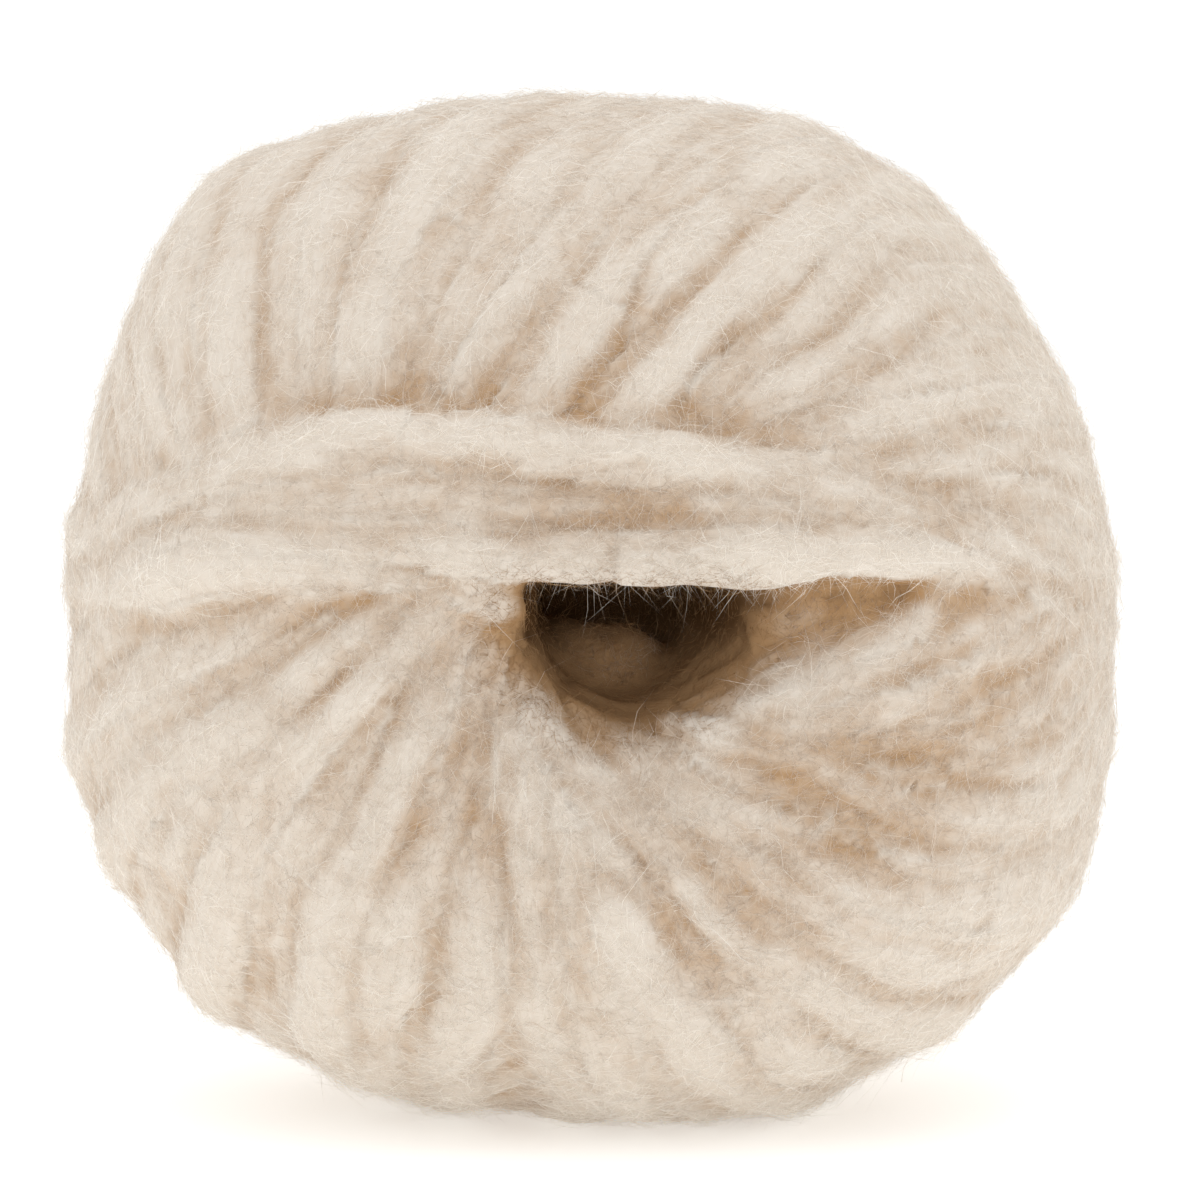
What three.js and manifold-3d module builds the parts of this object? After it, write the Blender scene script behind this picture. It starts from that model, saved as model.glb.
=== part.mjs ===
// Centre-pull ball of brushed alpaca yarn, standing on its round side with the mouth of its hollow
// core to the front (-Y). Millimetres, +Z up, +X to the right of the mouth.
//
// The ball is wound on a round form turned about the core's axis (Y). The arms of its turns are raised on
// that form, a pinwheel below and a fan above, and the last three turns cross the front between them as a
// belt just over the mouth. The mouth is then drawn off the axis, and the wound ball is pressed out of
// round to the outline table and flattened where it stands.

import * as THREE from "three";
import { mergeVertices } from "three/addons/utils/BufferGeometryUtils.js";
import Module from "manifold-3d";

const quarterTurn = Math.PI / 2;
const fullTurn = Math.PI * 2;

// The round as it is seen from the front: reach from the core's axis, by angle from +X towards +Z.
const outline = [
  { degrees: 0, reach: 52.0 },
  { degrees: 22.5, reach: 51.8 },
  { degrees: 45, reach: 53.8 },
  { degrees: 67.5, reach: 54.2 },
  { degrees: 90, reach: 52.8 },
  { degrees: 112.5, reach: 55.8 },
  { degrees: 135, reach: 59.0 },
  { degrees: 157.5, reach: 55.8 },
  { degrees: 180, reach: 54.5 },
  { degrees: 202.5, reach: 57.5 },
  { degrees: 225, reach: 57.0 },
  { degrees: 247.5, reach: 54.3 },
  { degrees: 270, reach: 52.9 },
  { degrees: 292.5, reach: 54.4 },
  { degrees: 315, reach: 55.8 },
  { degrees: 337.5, reach: 54.6 },
];
const floorDrop = 50.4; // from the core's axis to the surface under the ball

// The round form's section along the core's axis.
const formReach = 50; // from the axis to the round
const formDepth = 40; // from the middle of the ball to its front and rear shoulders
const fullness = 2.3; // 2 is an ellipse from shoulder to round, more is squarer
const mouthShoulder = 15; // radius at which the front stands furthest forward
const pocketRadius = 7.5; // the open core behind the mouth
const pocketDepth = 30; // from the front shoulder to where the core has closed up
const rearShoulder = 14;
const rearDimple = 9; // depth of the closed rear end of the core

// How far the mouth is drawn off the core's axis, and how far its sides follow it.
const mouthRise = 3;
const mouthAside = 2.5; // to the right at the front
const coreAside = -1.5; // and at the closed end of the core
const drawnWithin = 37.5;

// The arms of the winding, each from the rear over the round to the mouth. The belt parts them in two sets.
// Each row gives the angle where an arm leaves the round, and how near the axis it passes at the front as a
// share of the reach, below nought where it turns clockwise. The rows are read at even steps.
const fanAbove = [
  { degrees: 8, passing: 0.24 },
  { degrees: 35, passing: 0.21 },
  { degrees: 50, passing: 0.25 },
  { degrees: 74, passing: 0.36 },
  { degrees: 110, passing: 0.46 },
  { degrees: 172, passing: 0.5 },
  { degrees: 300, passing: 0.5 },
];
const pinwheelBelow = [
  { degrees: 166, passing: -0.3 },
  { degrees: 200, passing: -0.28 },
  { degrees: 235, passing: -0.3 },
  { degrees: 277, passing: -0.2 },
  { degrees: 315, passing: -0.27 },
  { degrees: 343, passing: -0.19 },
  { degrees: 391, passing: -0.27 },
];
const armStep = 15; // degrees
const armWidth = 15; // at the round
const drawnIn = 0.45; // share of that width where an arm is pulled tight at the axis
const armThickness = 3.2;
const unlevel = 1; // how much higher or lower than the others an arm may lie
const softness = 0.5; // how much the creases between the arms are filled
const sunk = 3.2; // how far an arm sinks past the belt, under the other set
const sinkWidth = 5; // across the belt's line
const pathSteps = 180;
const rearPassing = 0.3;

// The belt: the strands wound last, each by its places across the front and by how far its middle line
// rises over the turns under it. The first lies low between the other two.
const belt = [
  {
    rise: -1,
    places: [
      { across: 49.8, up: 4 },
      { across: 33, up: 9.8 },
      { across: 18, up: 13.4 },
      { across: 0, up: 14.6 },
      { across: -20, up: 14.8 },
      { across: -36, up: 12 },
      { across: -49.7, up: 5.2 },
    ],
  },
  {
    rise: 0.6,
    places: [
      { across: 49.8, up: 4.5 },
      { across: 33, up: 11 },
      { across: 17, up: 16.5 },
      { across: 0, up: 19.5 },
      { across: -20, up: 19.5 },
      { across: -36, up: 15 },
      { across: -49.4, up: 7.7 },
    ],
  },
  {
    rise: 0.6,
    places: [
      { across: 49.9, up: 3 },
      { across: 33, up: 8.5 },
      { across: 20, up: 10.4 },
      { across: 0, up: 9.8 },
      { across: -20, up: 10.2 },
      { across: -36, up: 9 },
      { across: -49.9, up: 2.6 },
    ],
  },
];
const beltStrand = 3.6; // half the width of a strand
const beltFlatness = 0.75; // its thickness as a share of its width
const beltSink = 2.6; // how much lower the strands lie at the round than at the front

// The mesh: columns round the axis, and steps along each stretch of the section.
const columns = 104;
const stretches = [
  { place: pocketEnd, steps: 2 },
  { place: pocketWall, steps: 6 },
  { place: frontFace, steps: 20 },
  { place: rearFace, steps: 12 },
  { place: rearEnd, steps: 3 },
];
const beltSteps = 48;
const beltSides = 7;

function polar(angle, radius) {
  return new THREE.Vector3(radius * Math.cos(angle), 0, radius * Math.sin(angle));
}

// Each stretch of the section gives its radius and depth at a share of its way, from the end of the
// pocket out over the front, the round and the rear.
function pocketEnd(share) {
  const swing = share * quarterTurn;
  const end = pocketDepth - formDepth;
  return new THREE.Vector2(pocketRadius * Math.sin(swing), end - pocketRadius * (1 - Math.cos(swing)));
}

function pocketWall(share) {
  const swing = (1 - share) * quarterTurn;
  return new THREE.Vector2(
    mouthShoulder - (mouthShoulder - pocketRadius) * Math.sin(swing),
    -formDepth + (pocketDepth - pocketRadius) * (1 - Math.cos(swing)),
  );
}

function frontFace(share) {
  const rear = shoulderToRound(mouthShoulder, 1 - share);
  return rear.setY(-rear.y);
}

function rearFace(share) {
  return shoulderToRound(rearShoulder, share);
}

// From the round (share 0) to a shoulder (share 1), on a curve between an ellipse and a rectangle.
function shoulderToRound(shoulder, share) {
  const [outward, along] = [Math.cos(share * quarterTurn), Math.sin(share * quarterTurn)];
  const size = (outward ** fullness + along ** fullness) ** (-1 / fullness);
  return new THREE.Vector2(shoulder + (formReach - shoulder) * outward * size, formDepth * along * size);
}

function rearEnd(share) {
  const radius = rearShoulder * (1 - share);
  const inward = 1 - (radius / rearShoulder) ** 2;
  return new THREE.Vector2(radius, formDepth - rearDimple * inward ** 2);
}

function section() {
  const points = [];
  for (const { place, steps } of stretches) {
    for (let step = points.length ? 1 : 0; step <= steps; step++) points.push(place(step / steps));
  }
  return points;
}

// How near the axis an arm passes, between the rows of its table.
function passingAt(rows, degrees) {
  const after = Math.max(rows.findIndex((row) => row.degrees >= degrees), 1);
  const [from, to] = [rows[after - 1], rows[after]];
  const share = (degrees - from.degrees) / (to.degrees - from.degrees);
  return THREE.MathUtils.lerp(from.passing, to.passing, share);
}

// The line of an arm over the round form, from the rear to the mouth, and how far it is sunk.
function armPath(rows, degrees) {
  const passing = passingAt(rows, degrees);
  const turned = Math.sign(passing);
  const lie = THREE.MathUtils.degToRad(degrees);
  return Array.from({ length: pathSteps / 2 + 1 }, (_, step) => {
    const swing = (step / pathSteps) * fullTurn - quarterTurn;
    const front = swing >= 0;
    const atFront = THREE.MathUtils.smoothstep(Math.sin(swing), -0.3, 0.3);
    const beside = THREE.MathUtils.lerp(turned * rearPassing, passing, atFront);
    const place = onForm(loopPlace(lie, swing, beside), front);
    const past = turned * (beltHeight(place.x, front) - place.z);
    return { place, sunkBy: sunk * THREE.MathUtils.smoothstep(past, -sinkWidth / 2, sinkWidth / 2) };
  });
}

// How high the middle of the belt passes the axis, at a distance across the ball.
function beltHeight(across, front) {
  const { places } = belt[0];
  const [right, left] = [places.at(0), places.at(-1)];
  if (!front) {
    const bow = Math.sqrt(Math.max(1 - (across / formReach) ** 2, 0));
    return THREE.MathUtils.lerp((right.up + left.up) / 2, -rearPassing * formReach, bow);
  }
  const found = places.findIndex((place) => place.across <= across);
  const after = found < 0 ? places.length - 1 : Math.max(found, 1);
  const [from, to] = [places[after - 1], places[after]];
  const share = THREE.MathUtils.clamp((across - from.across) / (to.across - from.across), 0, 1);
  return THREE.MathUtils.lerp(from.up, to.up, share);
}

// A place in the front view on a loop that lies at an angle and passes beside the axis.
function loopPlace(lie, swing, beside) {
  return polar(lie, Math.cos(swing)).add(polar(lie + quarterTurn, beside * Math.sin(swing)));
}

// The line of a belt strand: through its places at the front, and on round the rear to its start.
function beltPath(places) {
  const points = places.map(({ across, up }) => new THREE.Vector3(across, 0, up).divideScalar(formReach));
  const acrossFront = new THREE.CatmullRomCurve3(points, false, "catmullrom");
  const rightLie = Math.atan2(points.at(0).z, points.at(0).x);
  const leftLie = Math.atan2(-points.at(-1).z, -points.at(-1).x);
  return Array.from({ length: pathSteps }, (_, step) => {
    const share = step / pathSteps;
    if (share < 0.5) return onForm(acrossFront.getPoint(share * 2), true);
    const swing = share * fullTurn;
    const lie = THREE.MathUtils.lerp(rightLie, leftLie, (1 - Math.cos(swing)) / 2);
    return onForm(loopPlace(lie, swing, rearPassing), false);
  });
}

// Where a place in the front view, in shares of the reach, lies on the form.
function onForm(place, front) {
  const shoulder = front ? mouthShoulder : rearShoulder;
  const radius = Math.min(place.length(), 1) * formReach;
  const outward = Math.max((radius - shoulder) / (formReach - shoulder), 0);
  const depth = formDepth * Math.max(1 - outward ** fullness, 0) ** (1 / fullness);
  return place.setLength(radius).setY(front ? -depth : depth);
}

// The arms of a set in even steps from its first row, each with the level it lies at.
function layArms(rows) {
  const count = Math.ceil((rows.at(-1).degrees - rows.at(0).degrees) / armStep);
  return Array.from({ length: count }, (_, order) => ({
    path: armPath(rows, rows.at(0).degrees + order * armStep),
    level: unlevel * (1 + Math.sin(order * order)),
  }));
}

// How high the arms stand over each of the points, which lie on the form: as high as the highest of them,
// and a little more in the creases where they meet.
function heightsOver(points, arms) {
  return points.map((point) => {
    const width = armWidth * THREE.MathUtils.lerp(drawnIn, 1, Math.hypot(point.x, point.z) / formReach);
    let piled = 1;
    for (const { path, level } of arms) {
      let gap = Infinity;
      let below = 0;
      for (const { place, sunkBy } of path) {
        const distance = place.distanceToSquared(point);
        if (distance < gap) [gap, below] = [distance, sunkBy];
      }
      const across = gap / (width / 2) ** 2;
      piled += Math.exp((level - below + armThickness * (1 - across)) / softness);
    }
    return softness * Math.log(piled);
  });
}

// The body of the ball: the form as a lathe, its skin raised by the arms and its mouth drawn off the axis.
function bodyGeometry(arms) {
  const lathe = new THREE.LatheGeometry(section(), columns);
  lathe.deleteAttribute("normal");
  lathe.deleteAttribute("uv");
  const body = mergeVertices(lathe);
  body.computeVertexNormals();
  const position = body.getAttribute("position");
  const normal = body.getAttribute("normal");
  const points = Array.from({ length: position.count }, (_, i) =>
    new THREE.Vector3().fromBufferAttribute(position, i),
  );
  heightsOver(points, arms).forEach((height, i) => {
    const raised = new THREE.Vector3().fromBufferAttribute(normal, i).multiplyScalar(height).add(points[i]);
    const drawn = drawMouth(raised);
    position.setXYZ(i, drawn.x, drawn.y, drawn.z);
  });
  body.deleteAttribute("normal");
  return body;
}

// Draws the mouth off the axis, and the core behind it with its closed end less far.
function drawMouth(point) {
  if (point.y > 0) return point;
  const share = 1 - THREE.MathUtils.smoothstep(Math.hypot(point.x, point.z), pocketRadius, drawnWithin);
  const inward = THREE.MathUtils.clamp((point.y + formDepth) / pocketDepth, 0, 1);
  point.x += share * THREE.MathUtils.lerp(mouthAside, coreAside, inward);
  point.z += share * mouthRise;
  return point;
}

// The average of a closed row of numbers over its neighbours.
function evenOut(row, reach) {
  return row.map((_, here) => {
    let sum = 0;
    for (let shift = -reach; shift <= reach; shift++) sum += row[(here + shift + row.length) % row.length];
    return sum / (2 * reach + 1);
  });
}

// One strand of the belt: a closed loop that lies on the arms and bridges the mouth.
function beltGeometry({ rise, places }, arms) {
  const path = beltPath(places);
  const bed = evenOut(heightsOver(path, arms), 6);
  const line = path.map((place, step) => {
    const outward = Math.hypot(place.x, place.z) / formReach;
    return place.setLength(place.length() + bed[step] + rise - beltSink * outward);
  });
  const curve = new THREE.CatmullRomCurve3(line.filter((_, step) => step % 3 === 0), true);
  const strand = new THREE.TubeGeometry(curve, beltSteps, beltStrand, beltSides, true);
  return flatten(strand, curve);
}

// Presses a strand flat against the ball, across the line from the ball's middle.
function flatten(strand, curve) {
  const position = strand.getAttribute("position");
  for (let i = 0; i < position.count; i++) {
    const middle = curve.getPointAt(Math.floor(i / (beltSides + 1)) / beltSteps);
    const outward = middle.clone().normalize();
    const point = new THREE.Vector3().fromBufferAttribute(position, i);
    const above = point.clone().sub(middle).dot(outward);
    point.addScaledVector(outward, above * (beltFlatness - 1));
    position.setXYZ(i, point.x, point.y, point.z);
  }
  return strand;
}

// Presses the wound ball out of round: the outline's own reach at the round, none at the mouth.
function press(geometry) {
  const corners = outline.map(({ degrees, reach }) => polar(THREE.MathUtils.degToRad(degrees), reach));
  const curve = new THREE.CatmullRomCurve3(corners, true, "catmullrom");
  const position = geometry.getAttribute("position");
  const woundReach = formReach + armThickness + unlevel;
  const point = new THREE.Vector3();
  for (let i = 0; i < position.count; i++) {
    point.fromBufferAttribute(position, i);
    const round = THREE.MathUtils.euclideanModulo(Math.atan2(point.z, point.x) / fullTurn, 1);
    const share = THREE.MathUtils.smoothstep(Math.hypot(point.x, point.z), mouthShoulder, woundReach);
    const stretch = THREE.MathUtils.lerp(1, curve.getPoint(round).length() / woundReach, share);
    position.setXYZ(i, point.x * stretch, point.y, point.z * stretch);
  }
  return geometry;
}

function toSolid(wasm, geometry) {
  const bare = new THREE.BufferGeometry();
  bare.setAttribute("position", geometry.getAttribute("position"));
  bare.setIndex(geometry.getIndex());
  const merged = mergeVertices(bare, 1e-3);
  const mesh = new wasm.Mesh({
    numProp: 3,
    vertProperties: merged.getAttribute("position").array,
    triVerts: new Uint32Array(merged.getIndex().array),
  });
  return new wasm.Manifold(mesh);
}

function toGeometry(solid) {
  const mesh = solid.getMesh();
  const geometry = new THREE.BufferGeometry();
  geometry.setAttribute("position", new THREE.BufferAttribute(new Float32Array(mesh.vertProperties), 3));
  geometry.setIndex(new THREE.BufferAttribute(new Uint32Array(mesh.triVerts), 1));
  return geometry;
}

// The origin is on the surface under the ball, at the middle of the ball's box.
function standOnOrigin(geometry) {
  geometry.computeBoundingBox();
  const { min, max } = geometry.boundingBox;
  return geometry.translate(-(min.x + max.x) / 2, -(min.y + max.y) / 2, -min.z);
}

const wasm = await Module();
wasm.setup();

const arms = [...layArms(fanAbove), ...layArms(pinwheelBelow)];
const wound = [bodyGeometry(arms), ...belt.map((strand) => beltGeometry(strand, arms))];
const solids = wound.map((geometry) => toSolid(wasm, press(geometry)));
const standing = wasm.Manifold.union(solids).trimByPlane([0, 0, 1], -floorDrop);

const brushedAlpaca = new THREE.MeshStandardMaterial({ color: 0xd9cab6, roughness: 0.95, metalness: 0 });

const yarnBall = new THREE.Mesh(standOnOrigin(toGeometry(standing)), brushedAlpaca);
yarnBall.name = "yarn_ball";

const alpacaYarn = new THREE.Group();
alpacaYarn.name = "alpaca_yarn";
alpacaYarn.add(yarnBall);

export default alpacaYarn;
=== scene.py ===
"""Centre-pull ball of brushed alpaca yarn, dressed over its CAD solid.

The arms of the winding are laid over a round form in two sets that the belt parts, and the wound ball is
pressed out of round to the same outline as the solid. Brushing has felted the strands, so they and the
older layers under them become one skin. Loose fibres are then combed out of it, and they are its nap.
The core's mouth is at the front (-Y), +Z is up, and the ball stands on a small flat spot.
"""

import math

import bmesh
import bpy
import numpy as np
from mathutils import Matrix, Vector, noise
from mathutils.bvhtree import BVHTree
from mathutils.kdtree import KDTree


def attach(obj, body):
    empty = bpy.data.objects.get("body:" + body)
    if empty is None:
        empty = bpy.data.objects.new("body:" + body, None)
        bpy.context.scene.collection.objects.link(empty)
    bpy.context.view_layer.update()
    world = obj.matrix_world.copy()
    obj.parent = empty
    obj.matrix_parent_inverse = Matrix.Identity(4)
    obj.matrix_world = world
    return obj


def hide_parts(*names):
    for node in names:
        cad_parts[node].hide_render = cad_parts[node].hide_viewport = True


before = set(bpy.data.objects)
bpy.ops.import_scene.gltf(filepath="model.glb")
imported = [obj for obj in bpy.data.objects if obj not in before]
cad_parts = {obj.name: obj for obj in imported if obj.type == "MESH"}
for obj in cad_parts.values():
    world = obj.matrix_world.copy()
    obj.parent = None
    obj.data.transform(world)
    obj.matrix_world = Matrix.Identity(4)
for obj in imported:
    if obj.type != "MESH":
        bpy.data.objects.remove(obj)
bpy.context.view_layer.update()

bl_info = {
    "name": "Brushed alpaca yarn ball",
    "version": (1, 0, 0),
    "blender": (4, 5, 0),
    "location": "View3D > Sidebar > Yarn ball",
    "description": "Winds a centre-pull ball of brushed yarn and combs out its nap",
    "category": "Object",
}

MM = 0.001
FULL_TURN = 2 * math.pi
QUARTER_TURN = math.pi / 2
SEED = 11

# The round as it is seen from the front: degrees from +X towards +Z, reach from the core's axis in mm.
OUTLINE = (
    (0.0, 52.0),
    (22.5, 51.8),
    (45.0, 53.8),
    (67.5, 54.2),
    (90.0, 52.8),
    (112.5, 55.8),
    (135.0, 59.0),
    (157.5, 55.8),
    (180.0, 54.5),
    (202.5, 57.5),
    (225.0, 57.0),
    (247.5, 54.3),
    (270.0, 52.9),
    (292.5, 54.4),
    (315.0, 55.8),
    (337.5, 54.6),
)

# The arms of the winding, which the belt parts in two sets. Each row is the angle in degrees where an arm
# leaves the round, how near the axis it passes at the front as a share of the reach, below nought where it
# passes clockwise, the radius in mm inside which it sinks into the mouth, and its share of the usual width.
# The arms are laid at even steps between the rows.
UPPER_ARMS = (
    (8.0, 0.24, 11.0, 1.0),
    (35.0, 0.21, 11.0, 1.0),
    (50.0, 0.22, 11.0, 1.0),
    (74.0, 0.40, 11.0, 1.0),
    (110.0, 0.47, 11.0, 1.0),
    (172.0, 0.50, 11.0, 1.0),
    (300.0, 0.50, 11.0, 1.0),
)
LOWER_ARMS = (
    (166.0, -0.30, 11.0, 1.0),
    (200.0, -0.28, 11.0, 1.0),
    (235.0, -0.30, 11.0, 1.0),
    (277.0, -0.20, 11.0, 1.0),
    (315.0, -0.27, 12.0, 1.0),
    (330.0, -0.22, 13.0, 0.9),
    (343.0, -0.19, 15.0, 0.75),
    (372.0, -0.22, 16.0, 0.7),
    (391.0, -0.27, 16.0, 0.7),
)

# Arms sink under their neighbours inside these radii in mm, each fourth arm alike, as the room runs out.
# Arms under a share of the usual width have room.
SINKS_INSIDE = (0.0, 26.0, 0.0, 36.0)
NARROW = 0.8

# How far below the axis the belt passes at the rear, and how many times an arm's places each strand has.
REAR_BELT = 15 * MM
BELT_STEPS = 3

# The belt wound last: how far each strand rises over its usual level and its width in mm, and its places
# across the front in mm to the right of and above the core's axis. The first lies low between the others.
BELT = (
    (
        -0.3,
        9.0,
        ((49.8, 4.0), (33.0, 9.8), (18.0, 13.4), (0.0, 14.6), (-20.0, 14.8), (-36.0, 12.0), (-49.7, 5.2)),
    ),
    (
        0.6,
        6.8,
        ((49.8, 4.5), (33.0, 11.0), (17.0, 16.5), (0.0, 19.5), (-20.0, 19.5), (-36.0, 15.0), (-49.4, 7.7)),
    ),
    (
        0.6,
        6.4,
        ((49.9, 3.0), (33.0, 8.5), (20.0, 10.4), (0.0, 9.8), (-20.0, 10.2), (-36.0, 9.0), (-49.9, 2.6)),
    ),
)

# The yarn's start, loose across the bottom of the core: places in mm to the right of, behind and above the
# core's axis at the middle of the ball, and the way that it faces. It stops just short of the last place.
CORE_END = (
    (-9.0, -17.0, 2.0),
    (-6.0, -22.0, -0.5),
    (-2.0, -25.0, -2.0),
    (3.0, -24.0, -2.5),
    (8.0, -19.0, -2.0),
)
CORE_END_FACING = (0, -0.95, 0.3)
JUST_SHORT = 0.001

# The yarn's end, laid over the belt's left-hand side and tucked into the mouth: places as for the belt, and
# how far it rises over the belt's level at its start and at its tip in mm.
TUCKED_END = (
    (-44.0, 4.0),
    (-36.0, 7.6),
    (-28.0, 8.2),
    (-21.0, 7.2),
    (-15.5, 5.0),
    (-12.0, 2.0),
    (-10.5, -1.5),
)
TUCKED_RISE = (0.6, -1.5)

# An arm goes over from its rear passing to its front one within this share of the way from the round to the
# axis. It strays in long and short waves and rises and falls in short ones, in shares of its length. The
# last value is how much the short ones count beside its own level.
GOES_OVER = 0.3
STRAY_WAVES = (0.5, 0.11)
LEVEL_WAVE = 0.1
LEVEL_WAVE_SHARE = 0.6

# An arm sinks past the belt over the first width, and under others or into the mouth over the second.
BELT_CROSSING = 5 * MM
SINK_WIDTH = 6 * MM

# A strand swells or thins every so often, and is drawn out to a share of its width at its ends.
SWELL_SPACING = 9 * MM
END_DRAWN = 9 * MM
END_SHARE = 0.2

# The older layers: points nearer than this are one, and their edges are smoothed in rounds.
MERGE_WITHIN = 0.01 * MM
LAYER_ROUNDS = 6

# The tufts of the skin: how much longer they are along the strand, how their noise falls off and how much
# finer it gets from one octave to the next, and its octaves.
TUFT_STRETCH = 4
TUFT_FALL = 0.7
TUFT_STEP = 2.0
TUFT_OCTAVES = 3

# Each stretch of yarn has its pattern far apart from the next one's, so that neighbours do not match. Both
# are in metres.
PATTERN_STRETCH = 0.1
PATTERN_APART = 0.037

# The mouth is wider to the right, so what lies there counts as nearer to its middle.
RIGHT_COUNTS = 0.75

# Fluff fills the creases from this far off the mouth, wholly after a further stretch, and raises the crest,
# which lessens the painted crease shade there.
FLUFF_FROM = 24 * MM
FLUFF_OVER = 18 * MM
FLUFF_EASES_SHADE = 0.6

# The belt's painted shadow on the slope to the right of the mouth: where it begins, ends and stops under
# the belt, each with the stretch that it takes, and how much it lowers the crest, which paints it browner.
SLOPE_FROM, SLOPE_FROM_OVER = 6 * MM, 10 * MM
SLOPE_END, SLOPE_END_OVER = 40 * MM, 12 * MM
SLOPE_TOP, SLOPE_TOP_OVER = 6 * MM, 4 * MM
SLOPE_PAINTED_SHADOW = 0.32

# The shade in the core: how it fades at the mouth's shoulder, how far before the shoulder it begins and
# over what depth it grows, how much it lowers the crest and hides the strands, and how its lower wall is
# lit.
CORE_FADE = 7 * MM
CORE_BEFORE, CORE_DEPTH_OVER = 7 * MM, 12 * MM
CORE_SHADE = 2
CORE_HIDES = 0.8
CORE_LIT_BELOW, CORE_LIT_OVER = 2 * MM, 9 * MM
CORE_LIT = 0.95

# Rays that find the skin start this far out in metres and aim about the ball's middle. Those into the mouth
# start beside its line and aim nearer to it. Some rays miss, and roots too near the floor are left out.
RAYS_PER_FIBRE = 2
RAY_START = 0.12
RAY_SPREAD = 9 * MM
MOUTH_SPREAD = 10 * MM
MOUTH_DRAWN = 0.75
MOUTH_AIM = 0.5
FLOOR_GAP = 0.6 * MM

# Fibres at the mouth's rim: how their shade fades outwards and at the belt, the crest that half shade gives
# them, how much lower full shade is, and from where on a face counts as turned into the low, wide mouth.
RIM_FADE = 4 * MM
RIM_TOP, RIM_TOP_OVER = 7 * MM, 3 * MM
HALF_SHADE = -0.45
FULL_SHADE = 1.2
TURNED_IN, TURNED_IN_OVER = 0.1, 0.2
MOUTH_LOW = (0.4, 0, 1)

# How the fibres grow: the spread of their lengths, and for each kind its least and most length as shares of
# the usual one, how far they turn from the strand or lift off the skin, and the stops along them.
LENGTH_SPREAD = 0.35
COMBED_LENGTHS = (0.4, 1.4)
COMBED_TURN = 32
COMBED_LIFT, COMBED_LIFT_SPREAD, COMBED_LIFT_MOST = 0.02, 0.05, 0.1
COMBED_STOPS = (0.0, 0.25, 0.5, 0.75, 1.0)
FUZZ_LENGTHS = (0.4, 1.8)
FUZZ_LIFT, FUZZ_LIFT_SPREAD = 0.05, 0.13
FUZZ_STOPS = (0.0, 0.5, 1.0)

# Fibres whose crest is lower than this are in shade, where they are shorter and curl more.
IN_SHADE = -0.4
SHADE_LENGTH = 0.45
SHADE_CURL = 1.6

# How fibres curl, wave and sway, as spreads in shares of their length, the fewest and most sways along one,
# the radius at which they bend over with the ball, how deep their roots lie, how far they keep off the
# floor, their least and most thickness as shares of the usual one, and their sides.
CURL = 0.85
WAVE = 0.04
SWAY = 0.16
SWAYS = (0.6, 1.5)
BEND_RADIUS = 46 * MM
ROOT_DEPTH = 0.2 * MM
FLOOR_CLEAR = 0.15 * MM
THICKNESSES = (0.7, 1.2)
NEEDLE_SIDES = 3

# How pale a fibre is painted: on level skin, more for each mm of crest, and the spread. Fibres with a low
# crest, in creases, at the mouth's rim and in the core, take painted shade.
PALE = 0.65
PALE_PER_CREST = 0.5
PALE_SPREAD = 0.1

# The skin's pattern: the length and width of its fibres, and the width of the tufts that make the edges of
# the painted crease shade ragged, by so many mm of crest. Its colour goes over to the painted crease shade,
# and on to the painted shade of the core, between these crests in mm.
FIBRE_LENGTH = 6 * MM
FIBRE_WIDTH = 0.3 * MM
RAGGED_WIDTH = 2.5 * MM
RAGGED = 0.8
CREASE_CRESTS = (1.0, -0.55)
CORE_CRESTS = (-0.8, -2.0)

# The stage: how far the floor reaches in metres, each light's name, place, aim and size in metres and power
# in watts, and the strength of the room's own light.
FLOOR_REACH = 5
LIGHTS = (
    ("top_light", (0.0, -0.1, 0.95), (0, 0, 0.05), 0.9, 2.1),
    ("low_light", (0.1, -1.0, 0.06), (0, 0, 0.05), 0.5, 0.3),
)
ROOM_LIGHT = 0.86

# The camera: its lens and sensor in mm, how many degrees it looks down, how far off it is in metres, and
# the place that it aims at.
LENS = 266
SENSOR = 36
CAMERA_RISE = 6
CAMERA_DISTANCE = 0.9
CAMERA_AIM = (0.76 * MM, 0, 51.3 * MM)


def linear_colour(hex_code):
    """The linear colour of an sRGB hex value."""
    channels = [int(hex_code[i : i + 2], 16) / 255 for i in (1, 3, 5)]
    return tuple(c / 12.92 if c <= 0.04045 else ((c + 0.055) / 1.055) ** 2.4 for c in channels)


def length_property(name, description, millimetres):
    """A length that the user can set, with its default in mm."""
    return bpy.props.FloatProperty(
        name=name, description=description, default=millimetres * MM, unit="LENGTH"
    )


def colour_property(name, description, hex_code):
    """A colour that the user can set, with its default as an sRGB hex value."""
    return bpy.props.FloatVectorProperty(
        name=name, description=description, default=linear_colour(hex_code), subtype="COLOR"
    )


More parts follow.
